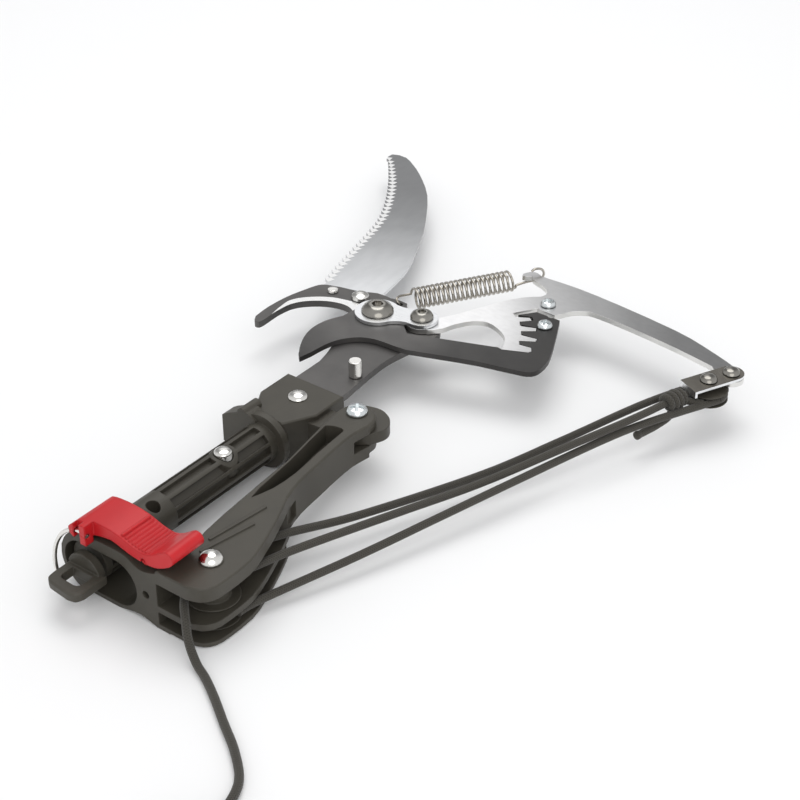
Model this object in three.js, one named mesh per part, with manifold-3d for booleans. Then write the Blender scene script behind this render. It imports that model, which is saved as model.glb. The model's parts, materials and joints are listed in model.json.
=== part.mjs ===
// Pole pruner head with a bolt-on sickle saw, a rope-pulled cutting blade and a clamp-on rope guide.
// Millimetres. +Y runs along the pole axis towards the saw, +X to the right, +Z up from the floor.
import * as THREE from 'three';
import { mergeVertices } from 'three/addons/utils/BufferGeometryUtils.js';
import Module from 'manifold-3d';

const wasm = await Module();
wasm.setup();

// ---------- driving dimensions ----------
const GAP = 0.3;                       // running gap between touching pieces
const CENTRE = { x: 16.29, y: -3.75 }; // middle of the object's box on the floor
const AXIS_Z = 15.5;                   // height of the pole axis over the floor
const SPIGOT_R = 11;                   // fits a 1 inch tube of 22 mm bore
const BORE_R = 12.8;                   // guide collar, over a 25.4 mm pole

const HOOK = { z0: 21, z1: 25 };                                    // hook plate
const BLADE = { z0: HOOK.z1 + GAP, z1: HOOK.z1 + GAP + 3 };         // cutting blade and pull lever
const LINK = { z0: BLADE.z1 + GAP, z1: BLADE.z1 + GAP + 2 };        // link plate over both pivots
const SAW = { z0: HOOK.z0 - GAP - 2, z1: HOOK.z0 - GAP };           // saw blade under the hook plate

const A = { x: -17.8, y: 40 };         // blade pivot
const B = { x: 6.4, y: 49.4 };         // lever pivot
const SAW_BOLT = { x: -40.5, y: 53 };
const SAW_PIN = { x: -58, y: 49.4 };
const E = { x: 172.4, y: 103.8 };      // shackle rivet at the lever's end
const AXLE = { x: 166.1, y: 90.4 };    // sheave axle in the shackle
const C_SCREW = { x: 64.9, y: 86 };
const D_SCREW = { x: 53.4, y: 107 };
const SPRING_HOLE = { x: -17.8, y: 61 };
const SPRING_NUB = { x: 24.6, y: 127.6 };
const SPRING_Z = 27;
const COIL_R = 6.5;

const PULL_MAX = 56;                   // degrees the lever swings when the rope is pulled
const BLADE_RATIO = 0.72;              // blade degrees per lever degree, near the comb's radii about A and B

const ARM = { z0: 14, z1: 34.6 };      // arm of the guide housing
const ARM_SCREW = { x: 40.6, y: -52.5 };
const EAR = { z0: 22, z1: 28.6 };      // adaptor's ear between the arm's two cheeks
const HOUSING = { end: -209, top: 34.6, bottom: 0 };
const SHEAVE_AXLE = { x: 62.5, y: -187.5 };
const UPPER_CHANNEL = { z0: 13.8, z1: 27 };
const LOWER_CHANNEL = { z0: 3, z1: 10.3 };
const COLLAR = { back: -183, reach: 21.5 };

const CLAMP = { pin: { x: 40, z: 36.2 }, y0: -208.6, y1: -187.8 };
const ROPE_R = 2.1;

// ---------- materials ----------
const metal = (color, roughness) => new THREE.MeshStandardMaterial({ color, roughness, metalness: 1 });
const plastic = (color, roughness) => new THREE.MeshStandardMaterial({ color, roughness, metalness: 0 });
const BLACK_STEEL = metal(0x4a494c, 0.45);
const SILVER = metal(0xc8cacc, 0.35);
const SAW_STEEL = metal(0xa9abae, 0.4);
const NYLON = plastic(0x3a3835, 0.55);
const RED = plastic(0xc52c30, 0.35);
const CHROME = metal(0xe8e8e8, 0.12);
const ZINC = metal(0xc9d2d6, 0.3);
const ROPE = plastic(0x2d2b27, 0.9);

const part = new THREE.Group();
const bench = new THREE.Group();
bench.position.set(-CENTRE.x, -CENTRE.y, 0);
part.add(bench);

// ---------- helpers ----------
function solid(geometry) {
  const bare = geometry.clone();
  bare.deleteAttribute('normal');
  bare.deleteAttribute('uv');
  const merged = mergeVertices(bare, 1e-4);
  const index = merged.index.array;
  const triangles = [];
  for (let i = 0; i < index.length; i += 3) {
    const [a, b, c] = [index[i], index[i + 1], index[i + 2]];
    if (a !== b && b !== c && a !== c) triangles.push(a, b, c);
  }
  const vertProperties = new Float32Array(merged.attributes.position.array);
  const triVerts = new Uint32Array(triangles);
  return new wasm.Manifold(new wasm.Mesh({ numProp: 3, vertProperties, triVerts }));
}

function geometryOf(body) {
  const mesh = body.getMesh();
  const geometry = new THREE.BufferGeometry();
  geometry.setAttribute('position', new THREE.BufferAttribute(new Float32Array(mesh.vertProperties), 3));
  geometry.setIndex(new THREE.BufferAttribute(new Uint32Array(mesh.triVerts), 1));
  geometry.computeVertexNormals();
  return geometry;
}

function add(name, body, material) {
  const mesh = new THREE.Mesh(geometryOf(body), material);
  mesh.name = name;
  bench.add(mesh);
  return mesh;
}

const shapeOf = (points) => new THREE.Shape(points.map(([x, y]) => new THREE.Vector2(x, y)));

// A closed outline of straight runs and smooth runs: each run is { line: [...] } or { curve: [...] }.
function outline(runs, steps = 4) {
  const points = [];
  for (const run of runs) {
    if (run.line) points.push(...run.line);
    if (run.curve) {
      const spline = new THREE.SplineCurve(run.curve.map(([x, y]) => new THREE.Vector2(x, y)));
      const samples = spline.getPoints((run.curve.length - 1) * (run.steps ?? steps));
      points.push(...samples.map((p) => [p.x, p.y]));
    }
  }
  return points;
}

function plate(points, z0, z1, bevel = 0) {
  const settings = { depth: z1 - z0 - 2 * bevel, bevelEnabled: bevel > 0, curveSegments: 8 };
  if (bevel > 0) {
    const edge = { bevelThickness: bevel, bevelSize: bevel, bevelOffset: -bevel, bevelSegments: 1 };
    Object.assign(settings, edge);
  }
  return solid(new THREE.ExtrudeGeometry(shapeOf(points), settings).translate(0, 0, z0 + bevel));
}

// A section drawn in X and Z, run along Y.
function beamY(points, y0, y1) {
  const run = new THREE.ExtrudeGeometry(shapeOf(points), { depth: y1 - y0, bevelEnabled: false });
  return solid(run.rotateX(Math.PI / 2).translate(0, y1, 0));
}

function post(x, y, r, z0, z1, sides = 28) {
  const rod = new THREE.CylinderGeometry(r, r, z1 - z0, sides).rotateX(Math.PI / 2);
  return solid(rod.translate(x, y, (z0 + z1) / 2));
}

function rodY(x, z, r, y0, y1, sides = 28) {
  return solid(new THREE.CylinderGeometry(r, r, y1 - y0, sides).translate(x, (y0 + y1) / 2, z));
}

function box(x0, x1, y0, y1, z0, z1) {
  const block = new THREE.BoxGeometry(x1 - x0, y1 - y0, z1 - z0);
  return solid(block.translate((x0 + x1) / 2, (y0 + y1) / 2, (z0 + z1) / 2));
}

// A round body turned about a vertical axis: profile of [radius, height] from axis to axis.
function turned(x, y, profile, sides = 28) {
  const lathe = new THREE.LatheGeometry(profile.map(([r, h]) => new THREE.Vector2(r, h)), sides);
  return solid(lathe.rotateX(Math.PI / 2).translate(x, y, 0));
}

const disc = (x, y, r, count = 24) =>
  Array.from({ length: count }, (_, i) => {
    const angle = (2 * Math.PI * i) / count;
    return [x + r * Math.cos(angle), y + r * Math.sin(angle)];
  });

const arc = (x, y, r, from, to, count = 8) =>
  Array.from({ length: count + 1 }, (_, i) => {
    const angle = THREE.MathUtils.degToRad(from + ((to - from) * i) / count);
    return [x + r * Math.cos(angle), y + r * Math.sin(angle)];
  });

// Moves every corner of an outline outwards, so that a neighbour cut by it keeps a running gap.
function grown(points, by) {
  const n = points.length;
  return points.map(([x, y], i) => {
    const [px, py] = points[(i + n - 1) % n];
    const [nx, ny] = points[(i + 1) % n];
    const before = new THREE.Vector2(y - py, px - x).normalize();
    const after = new THREE.Vector2(ny - y, x - nx).normalize();
    const middle = before.clone().add(after).normalize();
    const stretch = Math.min(by / Math.max(middle.dot(before), 0.45), 2 * by);
    return [x + middle.x * stretch, y + middle.y * stretch];
  });
}

function turnedAbout(body, pivot, degrees) {
  return body.translate([-pivot.x, -pivot.y, 0]).rotate([0, 0, degrees]).translate([pivot.x, pivot.y, 0]);
}

function tube(points, r, sides = 8, steps = 1) {
  const path = new THREE.CatmullRomCurve3(points.map((p) => new THREE.Vector3(...p)));
  const settings = { steps: steps * (points.length - 1), extrudePath: path, bevelEnabled: false };
  return solid(new THREE.ExtrudeGeometry(shapeOf(disc(0, 0, r, sides)), settings));
}

const hexSocket = (at, across, z0, z1) => post(at.x, at.y, across / Math.sqrt(3), z0, z1, 6);

function crossRecess(at, length, width, z0, z1, turn = 0) {
  const one = box(-length / 2, length / 2, -width / 2, width / 2, z0, z1);
  const both = one.add(one.rotate([0, 0, 90]));
  return both.rotate([0, 0, turn]).translate([at.x, at.y, 0]);
}

// ---------- adaptor: socket, barrel, flange with its thumb lug, ribbed spigot, ear ----------
const SOCKET_TOP = 27.6;
const SOCKET_FLOOR = 4;
const FLANGE = { y0: -81, y1: -77, r: 15.5 };
const SPIGOT_END = -205;
const BUTTON = { x: 2, y: -112.5, r: 4.9, boss: 7.4 };

function makeAdaptor() {
  const socket = plate([[-19.4, -36.5], [-19.4, -59], [-9.5, -76], [9.5, -76], [19, -59], [19, -36.5]],
    SOCKET_FLOOR, SOCKET_TOP, 0.8);
  const barrel = rodY(0, AXIS_Z, 12.2, -80, -60);
  const disk = rodY(0, AXIS_Z, FLANGE.r, FLANGE.y0, FLANGE.y1, 40);
  const rim = rodY(0, AXIS_Z, 13, FLANGE.y1 - 1, FLANGE.y1 + 2.5, 32);
  const lug = beamY([[-26, 6], [-26, 22.4], [-23, 24.4], [-12.5, 29.5], [-8, 30], [-3, 27], [-3, 6]],
    -82.5, -73.5);
  const lugNose = rodY(-12, 28.6, 3, -82.5, -70, 16);
  const ear = plate(outline([
    { line: [[28.6, -65.4], [28.6, -40.4], [35, -37.5]] },
    { curve: [[35, -37.5], [43, -35.8], [50.4, -38.6], [55, -43.6], [56, -49.6], [52.6, -57.6]] },
    { line: [[46, -63], [36, -65]] }]), EAR.z0, EAR.z1);
  const web = plate([[8, -64], [8, -48], [19, -46.5], [30.9, -45.5], [30.9, -62.5]], 14, EAR.z0 + 2.2);
  const spigot = rodY(0, AXIS_Z, SPIGOT_R, SPIGOT_END, -79, 40);
  let body = socket.add(barrel).add(disk).add(rim).add(lug).add(lugNose).add(ear).add(web).add(spigot);

  const pocket = [[-16.4, -30], [-16.4, -59.8], [-11.4, -70.4], [11.4, -70.4], [16.4, -59.8], [16.4, -30]];
  body = body.subtract(plate(pocket, HOOK.z0 - GAP, HOOK.z1 + GAP));
  body = body.subtract(post(0, -51.5, 3 + GAP, 0, 40, 16));
  body = body.subtract(post(ARM_SCREW.x, ARM_SCREW.y, 2.6 + GAP, 0, 40, 16));

  // long pockets between the spigot's ribs, which leave a round boss for the button's seat
  const boss = post(BUTTON.x, BUTTON.y, BUTTON.boss, AXIS_Z, 40, 24);
  for (const [y0, y1] of [[-156, -86], [-201, -174]]) {
    for (const angle of [-72, -38, 0, 38, 72, 108, 180, 252]) {
      const slot = box(-2.3, 2.3, y0, y1, SPIGOT_R - 3, SPIGOT_R + 2);
      body = body.subtract(slot.rotate([0, angle + 8, 0]).translate([0, 0, AXIS_Z]).subtract(boss));
    }
  }
  body = body.subtract(post(BUTTON.x, BUTTON.y, BUTTON.r + GAP, AXIS_Z - 5, 40, 20));
  body = body.subtract(post(BUTTON.x + 2, -165.5, 3.6, AXIS_Z + 3, 40, 18));
  body = body.subtract(rodY(0, AXIS_Z, 5.5, SPIGOT_END - 1, -190, 20));
  return body;
}
add('adaptor_body', makeAdaptor(), NYLON);

add('neck_rivet', turned(0, -51.5, [
  [0, SOCKET_FLOOR - 3.2], [4, SOCKET_FLOOR - 2.6], [5.2, SOCKET_FLOOR - GAP], [3, SOCKET_FLOOR - GAP],
  [3, SOCKET_TOP + GAP], [5.4, SOCKET_TOP + GAP], [4.9, SOCKET_TOP + 1.4], [3.2, SOCKET_TOP + 2.3],
  [0, SOCKET_TOP + 2.7]], 18), CHROME);

add('snap_button', turned(BUTTON.x, BUTTON.y, [[0, AXIS_Z + 5], [BUTTON.r, AXIS_Z + 5], [BUTTON.r, 26.9],
  [BUTTON.r - 0.5, 27.8], [BUTTON.r - 1.7, 28.5], [0, 28.9]], 28), CHROME);
add('snap_button_spring', turned(BUTTON.x, BUTTON.y, [[0, AXIS_Z - 4.6], [3, AXIS_Z - 4.6],
  [3, AXIS_Z + 5 - GAP], [0, AXIS_Z + 5 - GAP]], 14), SILVER);

// ---------- hook plate, saw, their fasteners ----------
function makeHookPlate() {
  const points = outline([
    { line: [[-15.9, -60], [-11, -70], [11, -70], [15.9, -60]] },
    { curve: [[15.9, -30], [13.6, -8], [13, 10], [16, 28], [19.5, 42]], steps: 3 },
    { curve: [[19.5, 48], [16.4, 53.4], [8, 56.6], [-4, 56.8]], steps: 3 },
    { line: [[-12, 57.4], [-15, 64.2], [-22.6, 64.6]] },
    { curve: [[-26, 63.5], [-36, 63.4], [-45.5, 58.8], [-57, 56.2]], steps: 2 },
    { curve: [[-65.5, 53.4], [-69.4, 50], [-72.4, 40.8], [-75.4, 27.9], [-76.4, 13], [-75.4, 1.2]],
      steps: 3 },
    { curve: [[-75.4, 1.2], [-72.6, -3], [-69.6, -2.6], [-69, 1]], steps: 3 },
    { curve: [[-69.6, 13], [-68.3, 22.9], [-63.4, 31], [-53.8, 38.3], [-43.6, 41.2], [-36, 39.4],
      [-29, 33]], steps: 3 },
    { curve: [[-29, 33], [-25.5, 20], [-22.5, 8], [-18.4, -4], [-15.9, -14]], steps: 3 }]);
  let body = plate(points, HOOK.z0, HOOK.z1);
  for (const [at, r] of [[A, 4.3], [B, 3.3], [{ x: 0, y: -51.5 }, 3 + GAP], [{ x: 9, y: -14 }, 3.3],
    [SPRING_HOLE, 1.7], [SAW_BOLT, 3.3], [SAW_PIN, 2.3]]) {
    body = body.subtract(post(at.x, at.y, r, 0, 40, 20));
  }
  return body;
}
add('hook_plate', makeHookPlate(), BLACK_STEEL);

function makeStopPin() {
  return turned(9, -14, [[0, HOOK.z0 - 1.4], [4, HOOK.z0 - 1.4], [4, HOOK.z0 - GAP], [3, HOOK.z0 - GAP],
    [3, HOOK.z1 + GAP], [3.7, HOOK.z1 + GAP], [3.7, 34.4], [3.3, 34.9], [0, 34.9]], 20);
}
add('stop_pin', makeStopPin(), ZINC);

const SAW_TEETH = 34;
const TOOTH_DEPTH = 3.2;
function makeSaw() {
  const back = outline([{ curve: [[-36.5, 66], [-42.2, 97.9], [-50.2, 117.8], [-60, 137.8], [-70, 155.7],
    [-91.8, 187.6], [-114.7, 209.6], [-131, 221.2]], steps: 3 }]);
  const nose = [[-136, 223.6], [-142, 224], [-146.6, 222.2], [-146.8, 217.6]];
  const edge = new THREE.SplineCurve([[-146.2, 216.6], [-137.4, 208.4], [-115.5, 181.4], [-95.5, 145.5],
    [-84.6, 107.6], [-76.5, 76], [-72, 62]].map(([x, y]) => new THREE.Vector2(x, y)));
  const teeth = [];
  for (let i = 0; i < SAW_TEETH; i += 1) {
    const foot = edge.getPointAt(i / SAW_TEETH);
    const along = edge.getTangentAt(i / SAW_TEETH);
    teeth.push([foot.x, foot.y]);
    const crown = edge.getPointAt((i + 0.3) / SAW_TEETH);
    const depth = TOOTH_DEPTH * Math.min(1, 0.35 + (3 * i) / SAW_TEETH);
    teeth.push([crown.x + along.y * depth, crown.y - along.x * depth]);
  }
  const root = [[-72, 61], [-72, 46], [-60, 42.6], [-46, 45.4], [-33, 50]];
  let body = plate([...back, ...nose, ...teeth, ...root].reverse(), SAW.z0, SAW.z1);
  for (const [at, r] of [[SAW_BOLT, 3.3], [SAW_PIN, 2.3]]) {
    body = body.subtract(post(at.x, at.y, r, 0, 40, 16));
  }
  return body;
}
add('saw_blade', makeSaw(), SAW_STEEL);

function buttonBolt(at, shankR, headR, headRise, z0, seatZ, across) {
  const head = turned(at.x, at.y, [[0, z0], [shankR, z0], [shankR, seatZ], [headR, seatZ],
    [headR, seatZ + 0.8], [headR * 0.86, seatZ + headRise * 0.62], [headR * 0.6, seatZ + headRise * 0.92],
    [headR * 0.45, seatZ + headRise], [0, seatZ + headRise]], 24);
  return head.subtract(hexSocket(at, across, seatZ + headRise - 2.2, seatZ + headRise + 2));
}

function hexNut(at, boltR, across, z0, z1) {
  const nut = post(at.x, at.y, across / Math.sqrt(3), z0, z1, 6);
  return nut.subtract(post(at.x, at.y, boltR + GAP, z0 - 1, z1 + 1, 20));
}

add('saw_bolt', turned(SAW_BOLT.x, SAW_BOLT.y, [[0, SAW.z0 - 6], [3, SAW.z0 - 6], [3, HOOK.z1 + GAP],
  [5.4, HOOK.z1 + GAP], [5, HOOK.z1 + 2], [3.4, HOOK.z1 + 3.1], [0, HOOK.z1 + 3.6]], 24), ZINC);
add('saw_bolt_nut', hexNut(SAW_BOLT, 3, 10, SAW.z0 - GAP - 5, SAW.z0 - GAP), ZINC);
add('saw_locating_pin', turned(SAW_PIN.x, SAW_PIN.y, [[0, SAW.z0 - 1.5], [3, SAW.z0 - 1.5], [3, SAW.z0 - GAP],
  [2, SAW.z0 - GAP], [2, HOOK.z1 + GAP], [3.4, HOOK.z1 + GAP], [3, HOOK.z1 + 1.6], [0, HOOK.z1 + 2.2]],
    20), ZINC);

// ---------- pivots: bolts, nuts and the link plate over both ----------
add('blade_pivot_bolt', buttonBolt(A, 4, 9.2, 4.6, HOOK.z0 - 9, LINK.z1 + GAP, 6), SILVER);
add('lever_pivot_bolt', buttonBolt(B, 3, 6.6, 3.8, HOOK.z0 - 8, LINK.z1 + GAP, 4.4), SILVER);
add('blade_pivot_nut', hexNut(A, 4, 15, HOOK.z0 - GAP - 7, HOOK.z0 - GAP), ZINC);
add('lever_pivot_nut', hexNut(B, 3, 11, HOOK.z0 - GAP - 6, HOOK.z0 - GAP), ZINC);

function makeLink() {
  const length = Math.hypot(B.x - A.x, B.y - A.y);
  const waist = plate(outline([
    { curve: [[4, -11.6], [12, -8.2], [18, -7.4], [24, -9.2]] },
    { curve: [[24, 9.2], [18, 7.4], [12, 8.2], [4, 11.6]] }]), LINK.z0, LINK.z1);
  const turn = THREE.MathUtils.radToDeg(Math.atan2(B.y - A.y, B.x - A.x));
  let body = post(0, 0, 13, LINK.z0, LINK.z1, 40).add(waist).add(post(length, 0, 9.4, LINK.z0, LINK.z1, 32));
  body = body.subtract(post(0, 0, 4.3, 0, 40, 24)).subtract(post(length, 0, 3.3, 0, 40, 20));
  return body.rotate([0, 0, turn]).translate([A.x, A.y, 0]);
}
add('link_plate', makeLink(), SILVER);

// ---------- pull lever and cutting blade: flat plates in one layer, meshed by a comb ----------
const LEVER_OUTLINE = outline([
  { curve: [[15.2, 43.6], [20.4, 49.6], [23.4, 57.6], [29, 66.4], [37, 70.4], [46.6, 67.6], [54.4, 61.8],
    [59.6, 51.8]], steps: 3 },
  { line: [[72.6, 57.8], [73.6, 59.6], [71.4, 62.6], [64.1, 61.4], [61.8, 64.9], [69.6, 69.6], [69, 72.2],
    [59.4, 70.4], [57, 74], [63.6, 79], [62.2, 81.6], [53.5, 78.1], [50.6, 82], [55.4, 87], [53, 88.9],
    [46.2, 84.9], [42.2, 87.4], [50.5, 100.2], [62.6, 99.6]] },
  { curve: [[65.2, 103.8], [68.2, 109], [74, 113.6], [81, 115.3], [105.4, 113.8], [134.9, 110.4],
    [159.6, 106]], steps: 2 },
  { line: arc(E.x, E.y, 7, -135, 78, 12) },
  { curve: [[164.2, 114.8], [144.6, 121.7], [125, 126.6], [85.8, 131.5], [56.4, 133.5], [36.7, 132.7]],
    steps: 2 },
  { curve: [[31.6, 132.9], [27.4, 134.4], [23.8, 132.8], [21.8, 128.6]], steps: 3 },
  { curve: [[22.6, 126.6], [25.6, 127], [27.6, 129], [30.6, 126.4], [36.6, 124.6], [42.6, 121.6],
    [45.8, 117], [44.8, 112.6]], steps: 3 },
  { curve: [[44.8, 112.6], [36.7, 105], [28.9, 92.2], [17, 66]], steps: 2 },
  { line: arc(B.x, B.y, 9.6, 55, 320, 16) }]);

function makeLever() {
  let body = plate(LEVER_OUTLINE, BLADE.z0, BLADE.z1);
  for (const [at, r] of [[B, 3.3], [D_SCREW, 2.3], [E, 2.8]]) {
    body = body.subtract(post(at.x, at.y, r, 0, 40, 20));
  }
  return body;
}
add('pull_lever', makeLever(), SILVER);

function makeBlade() {
  const blank = plate(outline([
    { line: [[-23.6, -22]] },
    { curve: [[-22, -14], [-21, -4], [-19, 3.4], [-15.6, 9.2], [-10, 14.8], [-2, 18], [9, 18.6],
      [18, 19.4]], steps: 2 },
    { curve: [[36.8, 26.4], [56.4, 33.3], [76, 38.2], [83.4, 40.4], [86.6, 44], [87.2, 48.6], [86, 57.8],
      [81, 69.8], [74, 84.6]], steps: 2 },
    { line: [[68, 96.6], [52.6, 96.6], [44.4, 85.8], [51.6, 80], [57.6, 73.2], [63, 65.4], [61, 54.4]] },
    { curve: [[61, 54.4], [54, 51], [36, 44.2], [20, 38], [8, 33.5]], steps: 2 },
    { line: arc(A.x, A.y, 13.4, 20, 168, 12) },
    { curve: [[-32.4, 27], [-36.4, 18.6], [-38, 8.8], [-36.4, -1], [-32, -10.8], [-26.4, -19.4]],
      steps: 3 }]),
  BLADE.z0, BLADE.z1);
  let body = blank;
  const cutter = plate(grown(LEVER_OUTLINE, 0.35), BLADE.z0 - 1, BLADE.z1 + 1);
  const steps = 28;
  for (let i = 0; i <= steps; i += 1) {
    const pull = (-PULL_MAX * i) / steps;
    body = body.subtract(turnedAbout(turnedAbout(cutter, B, pull), A, -pull * BLADE_RATIO));
  }
  for (const [at, r] of [[A, 4.3], [C_SCREW, 2.3]]) body = body.subtract(post(at.x, at.y, r, 0, 40, 20));
  const pieces = body.decompose().sort((p, q) => q.volume() - p.volume());
  return pieces[0];
}
add('cutting_blade', makeBlade(), BLACK_STEEL);

function crossScrew(at, shankR, headR, rise, z0, seatZ, turn) {
  const screw = turned(at.x, at.y, [[0, z0], [shankR, z0], [shankR, seatZ], [headR, seatZ],
    [headR, seatZ + rise * 0.4],
    [headR * 0.8, seatZ + rise * 0.85], [headR * 0.4, seatZ + rise], [0, seatZ + rise]], 18);
  const crown = seatZ + rise;
  return screw.subtract(crossRecess(at, headR * 1.25, headR * 0.3, crown - 1.3, crown + 1, turn));
}
const SCREW_FOOT = BLADE.z0 - 3.4;
add('blade_screw', crossScrew(C_SCREW, 2, 4.4, 2.7, SCREW_FOOT, BLADE.z1 + GAP, 20), ZINC);
add('lever_screw', crossScrew(D_SCREW, 2, 4.4, 2.7, SCREW_FOOT, BLADE.z1 + GAP, 50), ZINC);

// ---------- return spring: a close coil with long straight hooks, drawn as its outer shape ----------
const springLine = new THREE.Vector2(SPRING_NUB.x - SPRING_HOLE.x, SPRING_NUB.y - SPRING_HOLE.y);
const springTurn = THREE.MathUtils.radToDeg(springLine.angle());
const SPRING = { length: springLine.length(), coil0: 8.2, coil1: 70.3, wire: 0.7 };

function alongSpring(body) {
  return body.rotate([0, 0, springTurn]).translate([SPRING_HOLE.x, SPRING_HOLE.y, 0]);
}

function makeSpringCoil() {
  const length = SPRING.coil1 - SPRING.coil0;
  const coil = new THREE.CylinderGeometry(COIL_R, COIL_R, length, 20).rotateZ(-Math.PI / 2);
  const body = solid(coil.translate((SPRING.coil0 + SPRING.coil1) / 2, 0, SPRING_Z));
  const hook = tube([[SPRING.coil0 + 1, 0, SPRING_Z], [6, 0, SPRING_Z + 0.6], [2.4, 0, SPRING_Z + 0.8],
    [0.2, 0, HOOK.z1 - 0.4], [0, 0, HOOK.z0 - 1]], SPRING.wire, 8, 2);
  return alongSpring(body.add(hook));
}
add('return_spring', makeSpringCoil(), CHROME);

// The far hook passes under the lever's finger, rises behind it and curls back over it.
function makeSpringHook() {
  const nub = SPRING.length;
  return alongSpring(tube([[SPRING.coil1 + GAP, 0, SPRING_Z - 3.5], [nub - 6, 0, SPRING_Z - 3.8],
    [nub + 1, 0, BLADE.z0 - 1.1],
    [nub + 6.4, 0, BLADE.z0 - 1.2], [nub + 10.4, 0, BLADE.z0], [nub + 11.2, 0, BLADE.z1 + 0.1],
    [nub + 9.4, 0, BLADE.z1 + 2.7], [nub + 5.6, 0, BLADE.z1 + 3.5], [nub + 3.4, 0, BLADE.z1 + 2.3]],
  SPRING.wire, 8, 2));
}
add('return_spring_hook', makeSpringHook(), CHROME);

// ---------- rope guide housing: clamp collar, sheave block and arm in one moulding ----------
const housingOutline = outline([
  { line: [[47.6, -209], [66, -209]] },
  { curve: [[66, -209], [72.6, -206.8], [76.4, -202], [77.6, -195], [77.4, -178], [73.6, -164], [66.4, -145],
    [59.6, -130]], steps: 2 },
  { line: [[41, -130], [43.4, -158], [45.4, -173], [47.6, -182]] }]);

const armOutline = outline([
  { curve: [[66.4, -145], [59.6, -130], [55.6, -116], [53.8, -100], [52, -84], [51.2, -70], [52.8, -58]],
    steps: 2 },
  { line: arc(42, -55.4, 10.6, -8, 186, 14) },
  { curve: [[31.6, -58], [33, -70], [36, -88], [39, -106], [40.6, -128], [43, -150]], steps: 2 }]);

function sheaveChannel({ z0, z1 }) {
  return plate([[47.4, -220], [47.4, -158], [55, -136], [60, -124], [110, -124], [110, -220]], z0, z1);
}

function makeHousing() {
  const arm = plate(armOutline, ARM.z0, ARM.z1, 0.8);
  const block = plate(housingOutline, HOUSING.bottom + 0.2, HOUSING.top, 0.6);
  const collar = beamY(outline([
    { line: arc(0, AXIS_Z, 15.2, 180, 268, 8) },
    { curve: [[12, 0.3], [22, 0.4], [31, 2.4], [38, 2.6], [46, 0.3]], steps: 2 },
    { line: [[54, 0.3], [54, 34.5]] },
    { curve: [[50, 34.5], [45, 31.8], [38, 30.2], [32, 32], [26, 34.4], [8, 34.4], [-3, 33.2], [-10.5, 28.5],
      [-14.6, 21]], steps: 3 }]), HOUSING.end, COLLAR.back);
  let body = arm.add(block).add(collar);

  const bore = rodY(0, AXIS_Z, BORE_R, HOUSING.end - 1, COLLAR.back + 1, 36)
    .add(rodY(COLLAR.reach, AXIS_Z, BORE_R, HOUSING.end - 1, COLLAR.back + 1, 36))
    .add(box(0, COLLAR.reach, HOUSING.end - 1, COLLAR.back + 1, AXIS_Z - BORE_R, AXIS_Z + BORE_R));
  body = body.subtract(bore);
  body = body.subtract(rodY(40.2, 17, 2.1, HOUSING.end - 1, HOUSING.end + 9, 14));
  body = body.subtract(sheaveChannel(UPPER_CHANNEL)).subtract(sheaveChannel(LOWER_CHANNEL));
  body = body.subtract(post(SHEAVE_AXLE.x, SHEAVE_AXLE.y, 2.6 + GAP, -1, 40, 20));

  // fork for the adaptor's ear, open at the arm's end, and the screw's bore
  body = body.subtract(box(20, 64, -68.5, -40, EAR.z0 - GAP, EAR.z1 + GAP));
  body = body.subtract(post(ARM_SCREW.x, ARM_SCREW.y, 2.6 + GAP, 0, 40, 16));

  // long tapering pocket in the arm's top face, between two raised edges
  const pocket = plate(outline([
    { curve: [[35.2, -71.4], [38, -69.4], [43.4, -68.4], [45.6, -70]], steps: 2 },
    { curve: [[47.4, -92.8], [49.6, -112], [49, -128], [45.6, -140.4]], steps: 2 },
    { curve: [[43.6, -132], [41, -108], [37.4, -86]], steps: 2 }]), ARM.z1 - 11, ARM.z1 + 1);
  body = body.subtract(pocket);

  // step at the foot of the arm's end, recess in its side wall
  body = body.subtract(box(20, 70, -58, -30, 0, ARM.z0 + 3));
  body = body.subtract(plate([[54.6, -122], [62, -138], [80, -138], [80, -112]], ARM.z0 + 3, ARM.z1 - 8));

  // raised ribs on the top face
  for (const [x, y, half, turn] of [[54.2, -159.7, 17.7, -7.1], [57.7, -171, 15.8, -10.6]]) {
    const rib = box(-0.7, 0.7, -half, half, HOUSING.top - 1, HOUSING.top + 0.8);
    body = body.add(rib.rotate([0, 0, turn]).translate([x, y, 0]));
  }

  // lug in the top face's dip that carries the clamp lever's pin
  const lug = rodY(CLAMP.pin.x, CLAMP.pin.z, 2.6, -200.4, -196.4, 16)
    .add(box(CLAMP.pin.x - 2.6, CLAMP.pin.x + 2.6, -200.4, -196.4, 28.6, CLAMP.pin.z));
  body = body.add(lug).subtract(rodY(CLAMP.pin.x, CLAMP.pin.z, 1.3 + GAP, -202, -195, 14));
  const pieces = body.decompose().sort((p, q) => q.volume() - p.volume());
  return pieces[0];
}
add('guide_housing', makeHousing(), NYLON);

add('arm_screw', crossScrew(ARM_SCREW, 2.6, 5.6, 3.2, ARM.z0 + 2, ARM.z1 + GAP, 35), ZINC);
add('arm_nut', hexNut(ARM_SCREW, 2.6, 8, ARM.z0 - 1.4, ARM.z0 + 3 - GAP), ZINC);
add('sheave_rivet', turned(SHEAVE_AXLE.x, SHEAVE_AXLE.y, [[0, 0.4], [2.6, 0.4], [2.6, HOUSING.top + GAP],
  [6, HOUSING.top + GAP], [5.6, HOUSING.top + 2], [4, HOUSING.top + 3.4], [2, HOUSING.top + 4.1],
  [0, HOUSING.top + 4.3]], 20), CHROME);

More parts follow.
